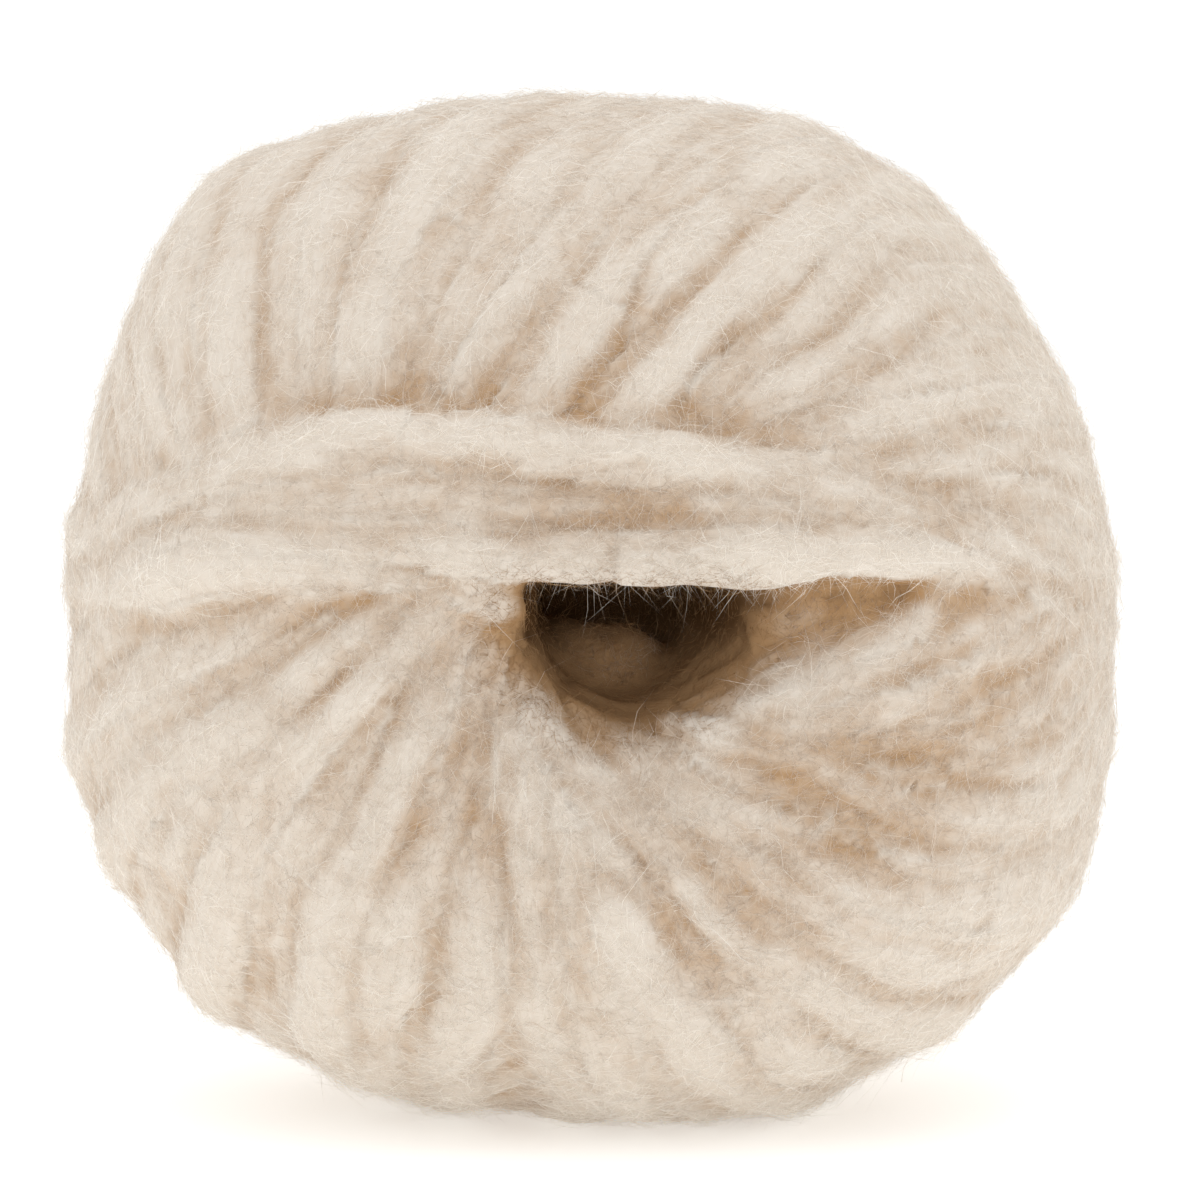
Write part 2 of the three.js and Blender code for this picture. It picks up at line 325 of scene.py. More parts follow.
class BallSizes(bpy.types.PropertyGroup):
    """The round form that the yarn is wound on, and where it stands."""

    reach: length_property("Reach", "From the core's axis to the form's round", 50)
    depth: length_property("Depth", "From the middle to the front and rear shoulders", 40)
    fullness: bpy.props.FloatProperty(
        name="Fullness", description="2 is an ellipse from shoulder to round, more is squarer", default=2.3
    )
    mouth_shoulder: length_property("Mouth shoulder", "Radius where the front stands furthest out", 15)
    rear_shoulder: length_property("Rear shoulder", "Radius where the rear stands furthest out", 14)
    mouth_rise: length_property("Mouth rise", "How far the mouth lies above the core's axis", 3)
    mouth_aside: length_property("Mouth aside", "How far the mouth lies to the right of the axis", 2.5)
    core_aside: length_property("Core aside", "How far the core's end lies to the right of the axis", -1.5)
    core_radius: length_property("Core radius", "Of the hollow core behind the mouth", 7.5)
    core_depth: length_property("Core depth", "From the front shoulder down the core's wall", 21)
    rear_dimple: length_property("Rear dimple", "Depth of the core's closed rear end", 9)
    wound_reach: length_property("Wound reach", "Reach of the wound ball before it is pressed", 54.2)
    axis: bpy.props.FloatVectorProperty(
        name="Core axis",
        description="Where the middle of the core's axis is in the frame",
        default=(1.06 * MM, -0.4 * MM, 50.4 * MM),
        subtype="TRANSLATION",
        unit="LENGTH",
    )


class YarnSizes(bpy.types.PropertyGroup):
    """The strand and the way it is wound."""

    arms: bpy.props.IntProperty(name="Arms", description="Arms of the winding in a full round", default=48)
    steps: bpy.props.IntProperty(name="Steps", description="Places along each arm", default=72)
    sides: bpy.props.IntProperty(name="Sides", description="Points round the strand", default=8)
    width: length_property("Strand width", "Across the strand where it lies loose on the round", 8.4)
    tight_width: length_property("Tight width", "Across the strand where it is drawn in at the axis", 3.4)
    end_width: length_property("End width", "Across the yarn's loose ends", 6.2)
    thickness: length_property("Strand thickness", "Across the strand, out of the ball", 4.8)
    unevenness: bpy.props.FloatProperty(
        name="Unevenness", description="Share by which the brushed strand swells and thins", default=0.14
    )
    stray: bpy.props.FloatProperty(
        name="Stray",
        description="How far an arm strays from an even lay",
        default=math.radians(1.7),
        subtype="ANGLE",
    )
    rear_passing: bpy.props.FloatProperty(
        name="Rear passing",
        description="How near the axis the arms pass at the rear, as a share of the reach",
        default=0.3,
    )
    level: length_property("Level", "Of an arm's middle over the form", 1.2)
    unlevel: length_property("Unlevel", "How much higher or lower than others an arm may lie", 0.5)
    sunk: length_property("Sunk", "How far an arm sinks to pass under others", 3.2)
    belt_level: length_property("Belt level", "Of the belt's middle over the form", 3.2)
    belt_sink: length_property("Belt sink", "How much lower the belt lies at the round", 1.8)


class SkinSizes(bpy.types.PropertyGroup):
    """The skin that brushing felts the strands into."""

    grain: length_property("Grain", "Size of the skin's faces", 0.8)
    easing: bpy.props.IntProperty(
        name="Easing",
        description="Rounds of easing that soften the creases",
        default=6,
    )
    broad: bpy.props.IntProperty(
        name="Broad easing",
        description="Rounds of easing that flatten the strands",
        default=60,
    )
    under: length_property("Under", "How far the older layers lie inside the CAD solid", 0.1)
    fluffed: bpy.props.FloatProperty(
        name="Fluffed",
        description="Share of the strands' relief that fluff fills away from the mouth",
        default=0.36,
    )
    tuft: length_property("Tuft", "Across a tuft of the brushed skin", 2.8)
    tuft_height: length_property("Tuft height", "Of the tufts over the skin", 0.55)


class NapSizes(bpy.types.PropertyGroup):
    """The fibres that brushing has pulled out of the strand: long ones combed along it, and short fuzz."""

    combed: bpy.props.IntProperty(
        name="Combed fibres",
        description="In the piece of combed fibres",
        default=11000,
    )
    combed_length: length_property("Combed length", "Usual length of a combed fibre", 5.0)
    fuzz: bpy.props.IntProperty(name="Fuzz fibres", description="In each piece of fuzz", default=33000)
    fuzz_length: length_property("Fuzz length", "Usual length of a fuzz fibre", 2.6)
    radius: length_property(
        "Radius", "Half a fibre's width, drawn coarser than the real 0.013 mm so that it shows", 0.021
    )
    curl_reach: length_property("Curl reach", "How far aside a fibre's tip may curl", 5)
    front_lean: bpy.props.FloatProperty(
        name="Front lean",
        description="0 spreads the fibres evenly, more sets more of them at the front",
        default=0.6,
    )
    mouth_share: bpy.props.FloatProperty(
        name="Mouth share",
        description="Share of the fibres that is set in and round the mouth",
        default=0.025,
    )


class YarnColours(bpy.types.PropertyGroup):
    """The colours of the yarn and of the stage."""

    light: colour_property("Light", "Brushed skin of the strand", "#EAE2D8")
    dark: colour_property("Dark", "Between the strand's fibres", "#D8CCBD")
    # Painted shade in the creases between the strands, also given to fibres that lie in shade.
    crease_shade: colour_property("Crease", "Deep between the strands", "#B8946C")
    # Painted shade down in the core's hollow, where little light reaches.
    core: colour_property("Core", "Down in the core", "#5E4329")
    tip: colour_property("Tip", "Palest of the loose fibres", "#FFFAF2")
    floor: colour_property("Floor", "Studio floor", "#FAFAF9")


def smooth_step(values):
    """Eases from 0 to 1 over the values from 0 to 1."""
    share = np.clip(values, 0, 1)
    return share * share * (3 - 2 * share)


def rises(values, start, over):
    """Eases from 0 at a start to 1 after a stretch."""
    return smooth_step((values - start) / over)


def falls(values, end, over):
    """Eases from 1 before a stretch to 0 at its end."""
    return smooth_step((end - values) / over)


def smooth_noise(rng, places, spacing):
    """Even noise of about unit size along a line, with a new value every so many places."""
    knots = rng.standard_normal(int(places[-1] / spacing) + 4)
    at = places / spacing
    row = np.floor(at).astype(int)
    blend = smooth_step(at - row)
    return knots[row] * (1 - blend) + knots[row + 1] * blend


def unit(vectors):
    """The vectors, each made one long."""
    return vectors / np.linalg.norm(vectors, axis=-1, keepdims=True)


def curve_through(values, at, closed):
    """A smooth curve through a row of values, read at places that are counted in values."""
    values = np.asarray(values)
    row = np.floor(at).astype(int)
    share = (at - row)[:, None] if values.ndim == 2 else at - row
    near = [row + shift for shift in (-1, 0, 1, 2)]
    near = [n % len(values) if closed else np.clip(n, 0, len(values) - 1) for n in near]
    before, here, after, beyond = (values[n] for n in near)
    slope = after - before
    bend = 2 * before - 5 * here + 4 * after - beyond
    twist = 3 * (here - after) + beyond - before
    return here + 0.5 * share * (slope + share * (bend + share * twist))


def table_at(table, column, angle):
    """A column of a table that goes round in even steps, at any angle."""
    at = np.mod(angle / FULL_TURN, 1) * len(table)
    return curve_through([row[column] for row in table], at, closed=True)


def on_form(ball, across, up, front, taut):
    """Places and outward normals on the round form, from a front view in shares of the reach.

    Inside the shoulders the form turns in to the core's mouth and to the rear dimple. A taut strand
    bridges the mouth instead.
    """
    radius = np.minimum(np.hypot(across, up), 1) * ball.reach
    angle = np.arctan2(up, across)
    shoulder = np.where(front, ball.mouth_shoulder, ball.rear_shoulder)
    side = np.where(front, -1.0, 1.0)
    outward = np.maximum((radius - shoulder) / (ball.reach - shoulder), 0)
    along = np.maximum(1 - outward**ball.fullness, 0) ** (1 / ball.fullness)
    radial = outward ** (ball.fullness - 1) / (ball.reach - shoulder)
    axial = along ** (ball.fullness - 1) / ball.depth
    narrow = np.where(front, shoulder - ball.core_radius, shoulder)
    fall = np.where(front, ball.core_depth, ball.rear_dimple)
    inward = np.clip((shoulder - radius) / narrow, 0, 1) * (1 - taut)
    level = np.sqrt(1 - inward**2)
    dip = fall * (1 - level)
    radial = np.where(inward > 0, -inward / narrow, radial)
    axial = np.where(inward > 0, level / fall, axial)
    depth = side * (along * ball.depth - dip)
    place = np.stack((radius * np.cos(angle), depth, radius * np.sin(angle)), axis=-1)
    normal = unit(np.stack((radial * np.cos(angle), side * axial, radial * np.sin(angle)), axis=-1))
    near_mouth = (1 - rises(radius, ball.core_radius, 2 * ball.mouth_shoulder)) * front * (1 - taut)
    place[..., 0] += near_mouth * (ball.mouth_aside + (ball.core_aside - ball.mouth_aside) * dip / fall)
    place[..., 2] += near_mouth * ball.mouth_rise
    return place, normal


def press_and_stand(ball, points):
    """The wound ball's points pressed out of round to the outline and flattened on the floor."""
    radius = np.hypot(points[..., 0], points[..., 2])
    share = rises(radius, ball.mouth_shoulder, ball.wound_reach - ball.mouth_shoulder)
    outline = table_at(OUTLINE, 1, np.arctan2(points[..., 2], points[..., 0])) * MM
    stretch = 1 + share * (outline / ball.wound_reach - 1)
    pressed = points * np.stack((stretch, np.ones_like(stretch), stretch), axis=-1) + np.array(ball.axis)
    pressed[..., 2] = np.maximum(pressed[..., 2], 0)
    return pressed


def loop_place(lie, swing, passing):
    """Places in the front view on a loop that lies at an angle and passes beside the axis."""
    beside = passing * np.sin(swing)
    across = np.cos(swing) * np.cos(lie) - beside * np.sin(lie)
    up = np.cos(swing) * np.sin(lie) + beside * np.cos(lie)
    return across, up


def belt_line(ball, across, front):
    """How high the belt's middle passes over or under the axis, at places across the ball."""
    places = np.array(BELT[0][2])[::-1] * MM
    rear_end = places[[0, -1], 1].mean()
    rear_fall = rear_end + REAR_BELT
    bow = np.sqrt(np.maximum(1 - (across / ball.reach) ** 2, 0))
    return np.where(front, np.interp(across, places[:, 0], places[:, 1]), rear_end - rear_fall * bow)


def lay_arm(ball, yarn, table, degrees, order, rng):
    """An arm of the winding from the rear to the mouth: places, normals, level and share of the width."""
    upper = table is UPPER_ARMS
    columns = np.array(table).T
    front_passing, dives_inside, share = (np.interp(degrees, columns[0], column) for column in columns[1:])
    swing = np.linspace(-QUARTER_TURN, QUARTER_TURN, yarn.steps)
    place = (swing + QUARTER_TURN) / math.pi
    at_front = rises(np.sin(swing), -GOES_OVER, 2 * GOES_OVER)
    rear = yarn.rear_passing if upper else -yarn.rear_passing
    passing = rear + (front_passing - rear) * at_front
    stray = yarn.stray * sum(smooth_noise(rng, place, wave) for wave in STRAY_WAVES)
    across, up = loop_place(math.radians(degrees) + stray, swing, passing)
    front = swing >= 0
    places, normals = on_form(ball, across, up, front, np.zeros_like(swing))
    across, up = across * ball.reach, up * ball.reach
    radius = np.hypot(across, up)
    over = (up - belt_line(ball, across, front)) * (1 if upper else -1)
    sinks_inside = SINKS_INSIDE[order % len(SINKS_INSIDE)] * MM * (share > NARROW)
    sunk = np.maximum(smooth_step(0.5 - over / BELT_CROSSING), falls(radius, sinks_inside, SINK_WIDTH))
    sunk = np.maximum(sunk, falls(radius, dives_inside * MM, SINK_WIDTH))
    uneven = rng.normal() + LEVEL_WAVE_SHARE * smooth_noise(rng, place, LEVEL_WAVE)
    level = yarn.level + yarn.unlevel * uneven - yarn.sunk * sunk
    return places, normals, level, share


def lay_belt(ball, yarn, rise, places):
    """A strand of the belt, through its own places and on round the rear: places, normals and level."""
    swing = np.linspace(0, FULL_TURN, BELT_STEPS * yarn.steps)
    places = np.array(places) * MM / ball.reach
    right = math.atan2(places[0, 1], places[0, 0])
    left = math.atan2(-places[-1, 1], -places[-1, 0])
    lie = right + (left - right) * (1 - np.cos(swing)) / 2
    rear_across, rear_up = loop_place(lie, swing, REAR_BELT / ball.reach)
    at = np.minimum(swing / math.pi, 1) * (len(places) - 1)
    front = swing <= math.pi
    across = np.where(front, curve_through(places[:, 0], at, closed=False), rear_across)
    up = np.where(front, curve_through(places[:, 1], at, closed=False), rear_up)
    # It lies lower towards the round and right round the rear.
    lower = np.maximum(yarn.belt_sink * np.cos(swing) ** 4, np.where(front, 0, yarn.belt_sink))
    return (*on_form(ball, across, up, front, np.ones_like(swing)), yarn.belt_level + rise * MM - lower)


def lay_tucked_end(ball, yarn):
    """The yarn's end, over the belt and into the mouth: its places, normals and level."""
    end = np.array(TUCKED_END) * MM / ball.reach
    at = np.linspace(0, len(end) - 1, yarn.steps)
    across, up = (curve_through(end[:, axis], at, closed=False) for axis in (0, 1))
    places, normals = on_form(ball, across, up, np.full(len(at), True), np.zeros(len(at)))
    return places, normals, yarn.belt_level + np.linspace(*TUCKED_RISE, len(at)) * MM


def lay_core_end(yarn):
    """The yarn's start, across the bottom of the core: its places, normals and level."""
    at = np.linspace(0, len(CORE_END) - 1 - JUST_SHORT, yarn.steps)
    places = curve_through(np.array(CORE_END) * MM, at, closed=False)
    return places, np.tile(CORE_END_FACING, (yarn.steps, 1)), np.zeros(yarn.steps)


def arm_width(ball, yarn, places):
    """How wide an arm is at its places: narrow where it is drawn in at the axis."""
    spread = np.hypot(places[:, 0], places[:, 2]) / ball.reach
    return yarn.tight_width + (yarn.width - yarn.tight_width) * spread


def strand_lists(ball, yarn, places, normals, height, rng, width):
    """The yarn as a closed tube, flat against the ball and thin at its ends: points, faces, middle line."""
    sides = yarn.sides
    count = len(places)
    middle = places + normals * height[:, None]
    along = unit(np.gradient(middle, axis=0))
    side = unit(np.cross(along, normals))
    out = np.cross(side, along)
    length = np.concatenate(([0], np.cumsum(np.linalg.norm(np.diff(middle, axis=0), axis=1))))
    swell = 1 + yarn.unevenness * smooth_noise(rng, length, SWELL_SPACING)
    to_end = np.minimum(length, length[-1] - length)
    swell = swell * (END_SHARE + (1 - END_SHARE) * smooth_step(to_end / END_DRAWN))
    angle = np.arange(sides) * FULL_TURN / sides - QUARTER_TURN
    width = swell * width
    thickness = swell * yarn.thickness
    wide = 0.5 * width[:, None, None] * np.cos(angle)[None, :, None] * side[:, None, :]
    high = 0.5 * thickness[:, None, None] * np.sin(angle)[None, :, None] * out[:, None, :]
    rings = press_and_stand(ball, middle[:, None, :] + wide + high)
    ring, spoke = np.meshgrid(np.arange(count - 1), np.arange(sides), indexing="ij")
    nearer, further = ring * sides, (ring + 1) * sides
    after = (spoke + 1) % sides
    faces = np.stack((nearer + spoke, further + spoke, further + after, nearer + after), axis=-1)
    ends = [list(range(sides)), list(range((count - 1) * sides, count * sides))[::-1]]
    return rings.reshape(-1, 3), faces.reshape(-1, 4).tolist() + ends, press_and_stand(ball, middle)


def older_layers(skin):
    """The layers under the turns, a little inside the CAD solid: points and faces."""
    shape = bmesh.new()
    shape.from_mesh(bpy.data.objects["yarn_ball"].data)
    bmesh.ops.remove_doubles(shape, verts=shape.verts, dist=MERGE_WITHIN)
    every_way = {"use_axis_x": True, "use_axis_y": True, "use_axis_z": True}
    for _ in range(LAYER_ROUNDS):
        bmesh.ops.smooth_vert(shape, verts=shape.verts, factor=0.5, **every_way)
    shape.normal_update()
    points = np.array([vertex.co - vertex.normal * skin.under for vertex in shape.verts])
    shape.verts.index_update()
    faces = [[vertex.index for vertex in face.verts] for face in shape.faces]
    shape.free()
    return points, faces


def mesh_from_lists(name, points, faces):
    """A smooth mesh from lists of points and faces."""
    mesh = bpy.data.meshes.new(name)
    mesh.from_pydata(points, [], faces)
    mesh.shade_smooth()
    return mesh


def outer_shell(mesh):
    """Takes away what the skin closes in."""
    shape = bmesh.new()
    shape.from_mesh(mesh)
    todo = set(shape.verts)
    shells = []
    while todo:
        front = [todo.pop()]
        shell = set(front)
        while front:
            for edge in front.pop().link_edges:
                for vertex in edge.verts:
                    if vertex in todo:
                        todo.remove(vertex)
                        shell.add(vertex)
                        front.append(vertex)
        shells.append(shell)
    outer = max(shells, key=len)
    inside = [vertex for vertex in shape.verts if vertex not in outer]
    bmesh.ops.delete(shape, geom=inside, context="VERTS")
    shape.to_mesh(mesh)
    shape.free()


def joined_shell(name, lists, grain):
    """One closed mesh round closed meshes that overlap."""
    points, faces = [], []
    for part_points, part_faces in lists:
        first = sum(len(part) for part in points)
        points.append(part_points)
        faces += [[first + corner for corner in face] for face in part_faces]
    strands = mesh_from_lists("loose_strands", np.concatenate(points).tolist(), faces)
    loose = bpy.data.objects.new("loose_strands", strands)
    bpy.context.scene.collection.objects.link(loose)
    felt = loose.modifiers.new("felt", "REMESH")
    felt.mode = "VOXEL"
    felt.voxel_size = grain
    mesh = bpy.data.meshes.new_from_object(loose.evaluated_get(bpy.context.evaluated_depsgraph_get()))
    bpy.data.meshes.remove(loose.data)
    mesh.name = name
    outer_shell(mesh)
    return mesh


def read_points(mesh, key):
    """The places or the normals of a mesh's points."""
    values = np.empty(3 * len(mesh.vertices), dtype=np.float32)
    mesh.vertices.foreach_get(key, values)
    return values.reshape(-1, 3).astype(float)


def set_points(mesh, places):
    """Moves a mesh's points, none of them below the floor."""
    places[:, 2] = np.maximum(places[:, 2], 0)
    mesh.vertices.foreach_set("co", places.astype(np.float32).ravel())
    mesh.shade_smooth()
    mesh.update()


def keep_values(mesh, name, kind, values):
    """Keeps a value or a vector at each point of a mesh."""
    layer = mesh.attributes.new(name, kind, "POINT")
    layer.data.foreach_set("value" if kind == "FLOAT" else "vector", values.astype(np.float32).ravel())


def eased(points, edges, rounds):
    """Points drawn half way to the mean of their neighbours, a number of times."""
    ends = np.concatenate((edges, edges[:, ::-1]))
    share = 0.5 / np.bincount(ends[:, 0], minlength=len(points))[:, None]
    for _ in range(rounds):
        total = [np.bincount(ends[:, 0], points[ends[:, 1], axis], len(points)) for axis in range(3)]
        points = 0.5 * points + share * np.stack(total, axis=1)
    return points


def strand_runs(places, normals, lines):
    """The way the nearest strand runs at each place, and the place on it: along, aside and stretch."""
    middle = np.concatenate(lines)
    runs = np.concatenate([unit(np.gradient(line, axis=0)) for line in lines])
    length = np.cumsum(np.linalg.norm(np.diff(middle, axis=0, prepend=middle[:1]), axis=1))
    tree = KDTree(len(middle))
    for index, place in enumerate(middle):
        tree.insert(place, index)
    tree.balance()
    near = np.array([tree.find(place)[1] for place in places])
    lay = runs[near]
    away = places - middle[near]
    along = length[near] + np.sum(away * lay, axis=1)
    aside = np.sum(away * np.cross(lay, normals), axis=1)
    stretch = np.floor(length[near] / PATTERN_STRETCH) * PATTERN_APART
    return lay, np.stack((along, aside, stretch), axis=1)


def from_mouth(ball, places):
    """Places from the mouth's line, and how far off it they are. The mouth is wider to the right."""
    beside = places - np.array(ball.axis) - np.array((0, 0, ball.mouth_rise))
    radius = np.hypot(np.where(beside[:, 0] > 0, RIGHT_COUNTS, 1) * beside[:, 0], beside[:, 2])
    return beside, radius


def shaded_crest(ball, crest, beside, radius):
    """The crest, lowered to paint shade: the belt's shadow right of the mouth, and the core's own shade."""
    right, behind, above = beside.T
    at_front = behind < 0
    # The slope to the right of the mouth, under the belt, is painted browner as the belt's shadow on it.
    slope = rises(right, SLOPE_FROM, SLOPE_FROM_OVER) * falls(radius, SLOPE_END, SLOPE_END_OVER)
    crest = crest - SLOPE_PAINTED_SHADOW * slope * falls(above, SLOPE_TOP, SLOPE_TOP_OVER) * at_front
    # The core is in its own shade.
    within = falls(radius, ball.mouth_shoulder, CORE_FADE)
    within = within * (rises(behind + ball.depth, -CORE_BEFORE, CORE_DEPTH_OVER) * at_front)
    # Its lower wall catches some light, and its strands hardly stand out in the shade.
    lit = falls(above, CORE_LIT_BELOW, CORE_LIT_OVER)
    return crest * (1 - CORE_HIDES * within) - within * (CORE_SHADE - CORE_LIT * lit)


def felted_skin(name, lists, lines, ball, skin):
    """The skin that strands and older layers felt into, softened, tufted along the strands and fluffed."""
    mesh = joined_shell(name, lists, skin.grain)
    edges = np.empty(2 * len(mesh.edges), dtype=np.int32)
    mesh.edges.foreach_get("vertices", edges)
    edges = edges.reshape(-1, 2)
    places = eased(read_points(mesh, "co"), edges, skin.easing)
    set_points(mesh, places)
    normals = read_points(mesh, "normal")
    lay, run = strand_runs(places, normals, lines)
    pattern = run / np.array((TUFT_STRETCH, 1, 1)) / skin.tuft
    tufts = [noise.fractal(place, TUFT_FALL, TUFT_STEP, TUFT_OCTAVES) for place in pattern.tolist()]
    places = places + normals * (skin.tuft_height * np.array(tufts))[:, None]
    flat = eased(places, edges, skin.broad)
    # Away from the mouth the strands are looser, and fluff fills the creases between them.
    beside, radius = from_mouth(ball, places)
    fluffed = skin.fluffed * rises(radius, FLUFF_FROM, FLUFF_OVER)
    places = places + fluffed[:, None] * (flat - places)
    set_points(mesh, places)
    # The crest is how far a place stands out of the flattened strands, in mm.
    crest = np.sum((places - flat) * read_points(mesh, "normal"), axis=1) / MM
    # Fluff lessens the painted crease shade, so it shows paler.
    crest = crest + FLUFF_EASES_SHADE * fluffed
    keep_values(mesh, "lay", "FLOAT_VECTOR", lay)
    keep_values(mesh, "run", "FLOAT_VECTOR", run)
    # The crest kept on the skin also carries painted shade, and sets where the material paints crease
    # shade.
    keep_values(mesh, "crest", "FLOAT", shaded_crest(ball, crest, beside, radius))
    return mesh


def read_combing(mesh):
    """The lay and the crest of each point of a mesh, in one array."""
    lay = np.empty(3 * len(mesh.vertices), dtype=np.float32)
    mesh.attributes["lay"].data.foreach_get("vector", lay)
    crest = np.empty(len(mesh.vertices), dtype=np.float32)
    mesh.attributes["crest"].data.foreach_get("value", crest)
    return np.concatenate((lay.reshape(-1, 3), crest[:, None]), axis=1)


def ray_lines(ball, nap, rng, count):
    """Starts and aims of rays that find the skin, from all round and more of them into the mouth."""
    start = unit(rng.standard_normal((count, 3)) - np.array((0, nap.front_lean, 0))) * RAY_START
    aim = rng.normal(0, RAY_SPREAD, (count, 3))
    into_mouth = rng.random(count) < nap.mouth_share
    beside = rng.normal(0, MOUTH_SPREAD, (count, 3)) * np.array((1, 0, 1))
    start[into_mouth] = beside[into_mouth] - np.array((0, RAY_START, 0))
    aim[into_mouth] = MOUTH_DRAWN * beside[into_mouth] + MOUTH_AIM * aim[into_mouth]
    return start + np.array(ball.axis), aim + np.array(ball.axis)


def skin_samples(mesh, ball, nap, rng, count):
    """Places on the skin that shows, their normals, the way fibres lie there and how far it stands out."""
    tree = BVHTree.FromPolygons([v.co for v in mesh.vertices], [p.vertices for p in mesh.polygons])
    combing = read_combing(mesh)
    samples = []
    for start, aim in zip(*(line.tolist() for line in ray_lines(ball, nap, rng, RAYS_PER_FIBRE * count))):
        place, normal, face, _ = tree.ray_cast(start, (Vector(aim) - Vector(start)).normalized())
        if place is not None and place.z > FLOOR_GAP:
            samples.append((*place, *normal, *combing[mesh.polygons[face].vertices[0]]))
        if len(samples) == count:
            break
    if len(samples) < count:
        raise RuntimeError(f"only {len(samples)} of {count} fibres have a place on the skin")
    places, normals, lay, crest = np.split(np.array(samples), (3, 6, 9), axis=1)
    crest = crest[:, 0]
    # Fibres at the mouth's rim are in half shade, and those on what faces into it are in full shade.
    beside, radius = from_mouth(ball, places)
    inward = -np.sum(unit(beside * np.array(MOUTH_LOW)) * normals, axis=1)
    rim = falls(radius, ball.mouth_shoulder, RIM_FADE) * falls(beside[:, 2], RIM_TOP, RIM_TOP_OVER)
    rim *= places[:, 1] < 0
    shaded = HALF_SHADE - FULL_SHADE * rises(inward, TURNED_IN, TURNED_IN_OVER)
    return places, normals, lay, crest + rim * np.minimum(shaded - crest, 0)


def needle_mesh(name, line, normal, sideways, thick, shade):
    """Closed three-sided needles along lines of points, drawn out to a point at both ends."""
    count, stops, _ = line.shape
    points = [line[:, :1]]
    for stop in range(1, stops - 1):
        for spoke in range(NEEDLE_SIDES):
            angle = spoke * FULL_TURN / NEEDLE_SIDES
            ring = normal * math.cos(angle) + sideways * math.sin(angle)
            points.append((line[:, stop] + thick * ring)[:, None])
    points.append(line[:, -1:])
    points = np.concatenate(points, axis=1)
    tip = points.shape[1] - 1
    last = tip - NEEDLE_SIDES
    needle = []
    for spoke in range(NEEDLE_SIDES):
        after = (spoke + 1) % NEEDLE_SIDES
        needle.append((0, 1 + after, 1 + spoke))
        for ring in range(1, last, NEEDLE_SIDES):
            beyond = ring + NEEDLE_SIDES
            needle.append((ring + spoke, ring + after, beyond + after))
            needle.append((ring + spoke, beyond + after, beyond + spoke))
        needle.append((last + spoke, last + after, tip))
    faces = (np.array(needle)[None] + np.arange(count)[:, None, None] * (tip + 1)).reshape(-1, 3)
    mesh = mesh_from_lists(name, points.reshape(-1, 3).tolist(), faces.tolist())
    keep_values(mesh, "shade", "FLOAT", np.repeat(shade, tip + 1))
    return mesh


def fibre_mesh(name, nap, rng, root, normal, lay, crest, turned, length, lift, stops):
    """Fibres as fine needles from their roots, turned out of the lay, curled and bent with the ball."""
    count = len(root)
    in_shade = crest < IN_SHADE
    length = length * np.where(in_shade, SHADE_LENGTH, 1)
    lay = unit(lay - normal * np.sum(lay * normal, axis=1, keepdims=True))
    across = np.cross(normal, lay)
    turned = (turned + math.pi * rng.integers(0, 2, count))[:, None]
    forward = lay * np.cos(turned) + across * np.sin(turned)
    sideways = np.cross(normal, forward)
    length, lift = length[:, None], lift[:, None]
    curl = rng.normal(0, CURL, (count, 1)) * np.where(in_shade, SHADE_CURL, 1)[:, None]
    curl = np.clip(curl, -nap.curl_reach / length, nap.curl_reach / length)
    wave = rng.normal(0, WAVE, (count, 1))
    sway = rng.normal(0, SWAY, (count, 1))
    sways = rng.uniform(*SWAYS, (count, 1)) * FULL_TURN
    line = []
    for stop in stops:
        run = length * stop
        rise = lift * run - run**2 / (2 * BEND_RADIUS) + wave * length * math.sin(stop * FULL_TURN)
        aside = curl * run * stop + sway * length * np.sin(stop * sways)
        line.append(root + forward * run + sideways * aside + normal * rise)
    line[0] = line[0] - normal * ROOT_DEPTH
    line = np.stack(line, axis=1)
    line[..., 2] = np.maximum(line[..., 2], FLOOR_CLEAR)
    thick = nap.radius * rng.uniform(*THICKNESSES, (count, 1))
    # Painted shade: the lower a fibre's crest, the nearer its colour to the crease shade and the less it
    # glows.
    shade = np.clip(PALE + PALE_PER_CREST * crest + rng.normal(0, PALE_SPREAD, count), 0, 1)
    return needle_mesh(name, line, normal, sideways, thick, shade)


def combed_mesh(name, nap, rng, root, normal, lay, crest):
    """Fibres that lie along the strand, curl aside and lift a little."""
    count = len(root)
    turned = np.radians(rng.normal(0, COMBED_TURN, count))
    length = nap.combed_length * np.clip(np.exp(rng.normal(0, LENGTH_SPREAD, count)), *COMBED_LENGTHS)
    lift = COMBED_LIFT + np.minimum(np.abs(rng.normal(0, COMBED_LIFT_SPREAD, count)), COMBED_LIFT_MOST)
    return fibre_mesh(name, nap, rng, root, normal, lay, crest, turned, length, lift, COMBED_STOPS)


def fuzz_mesh(name, nap, rng, root, normal, lay, crest):
    """Short fibres that stand off the strand every way."""
    count = len(root)
    turned = rng.uniform(0, math.pi, count)
    length = nap.fuzz_length * np.clip(np.exp(rng.normal(0, LENGTH_SPREAD, count)), *FUZZ_LENGTHS)
    lift = FUZZ_LIFT + np.abs(rng.normal(0, FUZZ_LIFT_SPREAD, count))
    return fibre_mesh(name, nap, rng, root, normal, lay, crest, turned, length, lift, FUZZ_STOPS)


def add_node(tree, kind, settings=None, links=None):
    """Adds a node, sets its properties and input values, and links sockets to its inputs."""
    node = tree.nodes.new(kind)
    for key, value in (settings or {}).items():
        if isinstance(key, str) and hasattr(node, key):
            setattr(node, key, value)
        else:
            node.inputs[key].default_value = value
    for key, socket in (links or {}).items():
        tree.links.new(socket, node.inputs[key])
    return node


def new_material(name):
    """An empty node material, its tree and its output node."""
    material = bpy.data.materials.new(name)
    material.use_nodes = True
    tree = material.node_tree
    tree.nodes.clear()
    return material, tree, tree.nodes.new("ShaderNodeOutputMaterial")


